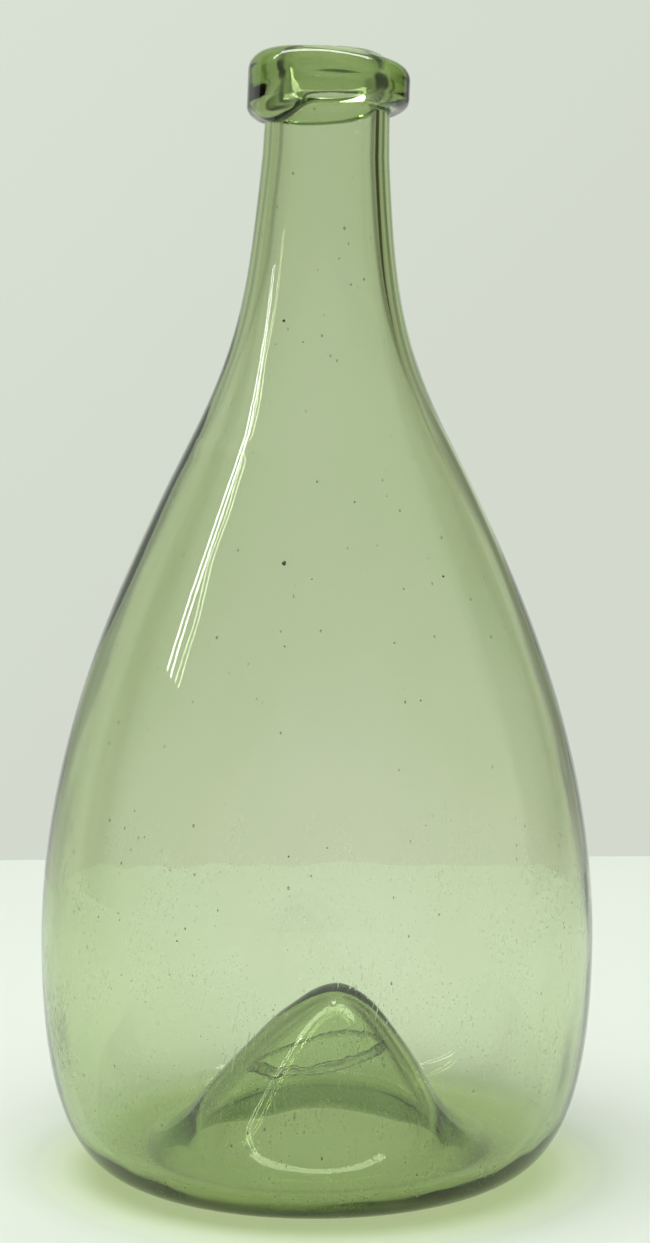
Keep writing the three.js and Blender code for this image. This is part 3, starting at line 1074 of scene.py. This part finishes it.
class BOTTLE_OT_stones(bpy.types.Operator):
    """Leave a few brown stones in the wall"""
    bl_idname = "bottle.stones"
    bl_label = "Stones"

    def execute(self, context):
        scene = context.scene
        piece = stones_mesh("wall_stones", scene.body_sizes, scene.wall_sizes, scene.seed_sizes, clay_stone())
        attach(piece, "root")
        return {"FINISHED"}


class BOTTLE_OT_collar(bpy.types.Operator):
    """Wind the strip of glass round the mouth and lap its end"""
    bl_idname = "bottle.collar"
    bl_label = "Wound Collar"

    def execute(self, context):
        scene = context.scene
        angles = [TAU * i / COLLAR_AROUND for i in range(COLLAR_AROUND)]
        sections = [collar_section(scene.body_sizes, scene.wall_sizes, scene.collar_sizes, angle)
                    for angle in angles]
        glass = bottle_glass("collar_bottle_glass", wear=0.1, grain=0.25 * MM)
        piece = ring_mesh("lip_collar_glass", sections, glass)
        set_in(piece, "lip_collar")
        return {"FINISHED"}


class BOTTLE_OT_scar(bpy.types.Operator):
    """Leave the broken ring of the pontil rod under the kick-up"""
    bl_idname = "bottle.scar"
    bl_label = "Pontil Scar"

    def execute(self, context):
        scene = context.scene
        sections = scar_sections(scene.body_sizes, scene.kick_sizes, scene.scar_sizes)
        piece = ring_mesh("pontil_scar_glass", sections, broken_glass())
        set_in(piece, "pontil_scar")
        return {"FINISHED"}


# Glass stands on a table on a few high spots, so a film of air is left under it
TABLE_GAP = 0.05 * MM
# The table reaches this far to each side and to the front. Between these distances from its middle it
# darkens towards its sides, down to this share of its colour: painted shade for light falling off there
TABLE_HALF = 0.9
TABLE_FRONT = 1.4
TABLE_SIDES = (0.16, 0.45)
PAINTED_SIDE_SHADE = 0.72
# Painted light and shade for what the bottle does to the light on the table, by distance from its middle as a
# share of this reach: a painted green shadow round the foot, as a share of the table's own colour, and
# painted light, glowing from the table, for the light that the glass lets down
GLOW_REACH = 100 * MM
SHADE = [
    (0.0, (0.70, 0.77, 0.55)),
    (0.45, (0.70, 0.77, 0.55)),
    (0.53, (0.93, 0.95, 0.88)),
    (0.66, (1.0, 1.0, 1.0)),
]
GLOW = [
    (0.0, (0.29, 0.33, 0.22)),
    (0.4, (0.33, 0.38, 0.22)),
    (0.52, (0.14, 0.18, 0.06)),
    (0.6, (0.03, 0.05, 0.01)),
    (0.75, (0.0, 0.0, 0.0)),
]


def pale_table(colour):
    """A plain pale table, with painted shade to its sides, a painted green shadow round the bottle's foot and
    a painted glow under it.
    """
    material, tree = new_material("pale_table")
    place_on = node(tree, "ShaderNodeTexCoord").outputs["Object"]
    part = node(tree, "ShaderNodeSeparateXYZ", {0: place_on}).outputs
    # Painted shade: the table's colour darkens towards its sides, where the light falls off
    aside = node(tree, MATH, {0: part["X"]}, operation="ABSOLUTE")
    aside = node(tree, "ShaderNodeMapRange", {
        "Value": aside, "From Min": TABLE_SIDES[0], "From Max": TABLE_SIDES[1]},
        interpolation_type="SMOOTHSTEP")
    tone = node(tree, "ShaderNodeMix", {
        0: aside, 6: (*colour, 1), 7: (*[c * PAINTED_SIDE_SHADE for c in colour], 1)}, data_type="RGBA")
    # Painted shadow round the bottle's foot: a green shade multiplied into the table's colour by distance
    # from its middle
    away = node(tree, "ShaderNodeVectorMath", {0: place_on}, operation="LENGTH").outputs["Value"]
    away = node(tree, MATH, {0: away, 1: GLOW_REACH}, operation="DIVIDE")
    shaded = node(tree, "ShaderNodeMix", {0: 1.0, 6: tone.outputs[2], 7: ramp(tree, away, SHADE)},
                  data_type="RGBA", blend_type="MULTIPLY")
    # Painted light: the table glows under and round the bottle, for the light that the glass lets down
    shader = node(tree, "ShaderNodeBsdfPrincipled", {
        "Base Color": shaded.outputs[2], "Roughness": 0.6,
        "Emission Color": ramp(tree, away, GLOW), "Emission Strength": 1.0})
    node(tree, "ShaderNodeOutputMaterial", {"Surface": shader})
    return material


def add_table(settings):
    """The table top, whose far edge is where the wall begins."""
    slant = TABLE_HALF * math.tan(settings.table_turn)
    corners = [(-TABLE_HALF, -TABLE_FRONT, -TABLE_GAP), (TABLE_HALF, -TABLE_FRONT, -TABLE_GAP),
               (TABLE_HALF, settings.table_edge + slant, -TABLE_GAP),
               (-TABLE_HALF, settings.table_edge - slant, -TABLE_GAP)]
    mesh = bpy.data.meshes.new("table_top")
    mesh.from_pydata(corners, [], [(0, 1, 2, 3)])
    mesh.materials.append(pale_table(settings.table))
    put("table_top", mesh)


# The wall that the camera sees, which is brighter up to the left, and the colours that the glass sees
# at its foot and overhead, each with the heights that it sets in between
WALL = linear("#d3d9cd")
WALL_BRIGHT = linear("#dbe3d7")
WALL_RISE = 0.45
WALL_FOOT = (0.74, 0.77, 0.70)
FOOT_RISE = (0.02, -0.18)
CEILING = (0.62, 0.66, 0.61)
CEILING_RISE = (0.45, 0.95)
# Soft white light from all round for what is matt
SOFT_LIGHT = (0.97, 1.0, 0.95)
SOFT_STRENGTH = 0.75
# What the glass sees round the bottle, by degrees to the left and right of straight behind it: the
# pale wall, a darker stretch past its end, a lit part of the room, a dark opening, and the dim rest
DARK = (0.07, 0.065, 0.045)
ROOM_LEFT = [
    (0, WALL),
    (20, (0.64, 0.68, 0.60)),
    (25, (0.38, 0.42, 0.35)),
    (32, (0.38, 0.42, 0.35)),
    (38, (0.59, 0.63, 0.55)),
    (62, (0.58, 0.61, 0.53)),
    (67, DARK),
    (79, DARK),
    (84, (0.50, 0.54, 0.47)),
    (180, (0.42, 0.45, 0.41)),
]
ROOM_RIGHT = [
    (0, WALL),
    (20, (0.64, 0.68, 0.60)),
    (25, (0.27, 0.29, 0.23)),
    (32, (0.27, 0.29, 0.23)),
    (38, (0.57, 0.60, 0.51)),
    (46, (0.46, 0.48, 0.39)),
    (50, DARK),
    (79, DARK),
    (84, (0.50, 0.54, 0.47)),
    (180, (0.42, 0.45, 0.41)),
]


def room_round(tree, part):
    """The room's colours by the turn round the bottle, to the left and to the right."""
    turn = node(tree, MATH, {0: part["X"], 1: part["Y"]}, operation="ARCTAN2")
    aside = node(tree, MATH, {0: turn}, operation="ABSOLUTE")
    aside = node(tree, MATH, {0: aside, 1: math.pi}, operation="DIVIDE")
    to_right = node(tree, MATH, {0: turn, 1: 0.0}, operation="GREATER_THAN")
    left, right = [ramp(tree, aside, [(degrees / 180, colour) for degrees, colour in stops])
                   for stops in (ROOM_LEFT, ROOM_RIGHT)]
    return node(tree, "ShaderNodeMix", {0: to_right, 6: left, 7: right}, data_type="RGBA").outputs[2]


def turning_into(tree, below, colour, height, rise):
    """A colour that turns into another one between two heights."""
    share = node(tree, "ShaderNodeMapRange", {"Value": height, "From Min": rise[0], "From Max": rise[1]},
                 interpolation_type="SMOOTHSTEP")
    return node(tree, "ShaderNodeMix", {0: share, 6: below, 7: (*colour, 1)}, data_type="RGBA").outputs[2]


def wall_behind(tree, part):
    """The plain wall, a little brighter up to the left."""
    up_left = node(tree, MATH, {0: part["Z"], 1: part["X"]}, operation="SUBTRACT")
    up_left = node(tree, "ShaderNodeMapRange", {"Value": up_left, "From Min": 0.0, "From Max": WALL_RISE})
    return node(tree, "ShaderNodeMix", {0: up_left, 6: (*WALL, 1), 7: (*WALL_BRIGHT, 1)},
                data_type="RGBA").outputs[2]


def add_room():
    """A plain pale wall for the camera, the room for the glass, and soft light for what is matt."""
    world = bpy.data.worlds.new("plain_room")
    bpy.context.scene.world = world
    world.use_nodes = True
    tree = world.node_tree
    tree.nodes.clear()
    way = node(tree, "ShaderNodeTexCoord").outputs["Generated"]
    part = node(tree, "ShaderNodeSeparateXYZ", {0: way}).outputs
    room = turning_into(tree, room_round(tree, part), WALL_FOOT, part["Z"], FOOT_RISE)
    room = turning_into(tree, room, CEILING, part["Z"], CEILING_RISE)
    through_glass = node(tree, "ShaderNodeBackground", {"Color": room, "Strength": 1.0})
    wall = node(tree, "ShaderNodeBackground", {"Color": wall_behind(tree, part), "Strength": 1.0})
    soft = node(tree, "ShaderNodeBackground", {"Color": (*SOFT_LIGHT, 1), "Strength": SOFT_STRENGTH})
    path = node(tree, "ShaderNodeLightPath").outputs
    clear = node(tree, MATH, {0: path["Is Glossy Ray"], 1: path["Is Transmission Ray"]}, operation="MAXIMUM")
    lit = node(tree, "ShaderNodeMixShader", {0: clear, 1: soft, 2: through_glass})
    both = node(tree, "ShaderNodeMixShader", {0: path["Is Camera Ray"], 1: lit, 2: wall})
    node(tree, "ShaderNodeOutputWorld", {"Surface": both})


# The two strip lamps: their distance from the bottle, the height of their middle, where they point,
# their size and their watts
STRIP_DISTANCE = 0.78
STRIP_HEIGHT = 0.75
STRIP_TARGET = (0, 0, 0.12)
STRIP_SIZE = (0.014, 0.6)
STRIP_WATTS = 0.72


def strip_place(degrees):
    """Place of a tall strip lamp on the left, by its turn round the bottle from straight behind."""
    turn = math.radians(degrees)
    return (-STRIP_DISTANCE * math.sin(turn), STRIP_DISTANCE * math.cos(turn), STRIP_HEIGHT)


# The lamps: name, place, what each points at, its width and height, its watts, and what it lights,
# which is what is matt, the skin of the glass, or the glass from inside
LAMPS = [
    ("overhead", (-0.14, -0.28, 1.15), (0, 0, 0.1), (1.0, 0.6), 6.7, ("matt",)),
    ("rim_gleam", (0, -0.06, 1.2), (0, 0, 0.2), (1.6, 0.3), 14.0, ("skin",)),
    ("base_gleam", (0, -0.06, 1.18), (0, 0, 0.2), (1.6, 0.15), 6.0, ("inside",)),
    ("left_strip", strip_place(96.4), STRIP_TARGET, STRIP_SIZE, STRIP_WATTS, ("skin", "inside")),
    ("left_strip_twin", strip_place(99.6), STRIP_TARGET, STRIP_SIZE, STRIP_WATTS, ("skin", "inside")),
]


def add_lamp(name, place_at, target, size, watts, lit):
    """A rectangular soft lamp, which lights what is matt, gleams on the glass, or gleams from inside it."""
    data = bpy.data.lights.new(name, "AREA")
    data.shape = "RECTANGLE"
    data.size, data.size_y = size
    data.energy = watts
    lamp = put(name, data)
    lamp.visible_diffuse = "matt" in lit
    lamp.visible_glossy = "skin" in lit
    lamp.visible_transmission = "inside" in lit
    lamp.location = place_at
    lamp.rotation_euler = (Vector(target) - Vector(place_at)).to_track_quat("-Z", "Y").to_euler()


def add_camera(settings):
    data = bpy.data.cameras.new("camera")
    data.sensor_width = 36
    data.lens = settings.lens
    data.clip_start = 10 * MM
    camera = put("camera", data)
    camera.location = (settings.camera_side, -settings.camera_distance, settings.camera_height)
    camera.rotation_euler = (UP - settings.camera_pitch, 0, 0)
    bpy.context.scene.camera = camera


class BOTTLE_OT_stage(bpy.types.Operator):
    """Set the table, the room, the lamps and the camera"""
    bl_idname = "bottle.stage"
    bl_label = "Stage"

    def execute(self, context):
        settings = context.scene.stage_settings
        context.scene.view_settings.view_transform = "Standard"
        add_table(settings)
        add_room()
        for lamp in LAMPS:
            add_lamp(*lamp)
        add_camera(settings)
        return {"FINISHED"}


OPERATORS = (BOTTLE_OT_body, BOTTLE_OT_stones, BOTTLE_OT_collar, BOTTLE_OT_scar, BOTTLE_OT_stage)


class BOTTLE_PT_panel(bpy.types.Panel):
    bl_label = "Free-blown Bottle"
    bl_idname = "BOTTLE_PT_panel"
    bl_space_type = "VIEW_3D"
    bl_region_type = "UI"
    bl_category = "Bottle"

    def draw(self, context):
        for operator in OPERATORS:
            self.layout.operator(operator.bl_idname)
        for name, group in GROUPS.items():
            box = self.layout.box()
            box.label(text=name.replace("_", " ").capitalize())
            for key in group.__annotations__:
                box.prop(getattr(context.scene, name), key)


CLASSES = (*GROUPS.values(), *OPERATORS, BOTTLE_PT_panel)


def register():
    for cls in CLASSES:
        bpy.utils.register_class(cls)
    for name, group in GROUPS.items():
        setattr(bpy.types.Scene, name, PointerProperty(type=group))


def unregister():
    for name in GROUPS:
        delattr(bpy.types.Scene, name)
    for cls in reversed(CLASSES):
        bpy.utils.unregister_class(cls)


def main():
    register()
    bpy.ops.bottle.body()
    bpy.ops.bottle.stones()
    bpy.ops.bottle.collar()
    bpy.ops.bottle.scar()
    bpy.ops.bottle.stage()


if __name__ == "__main__":
    main()
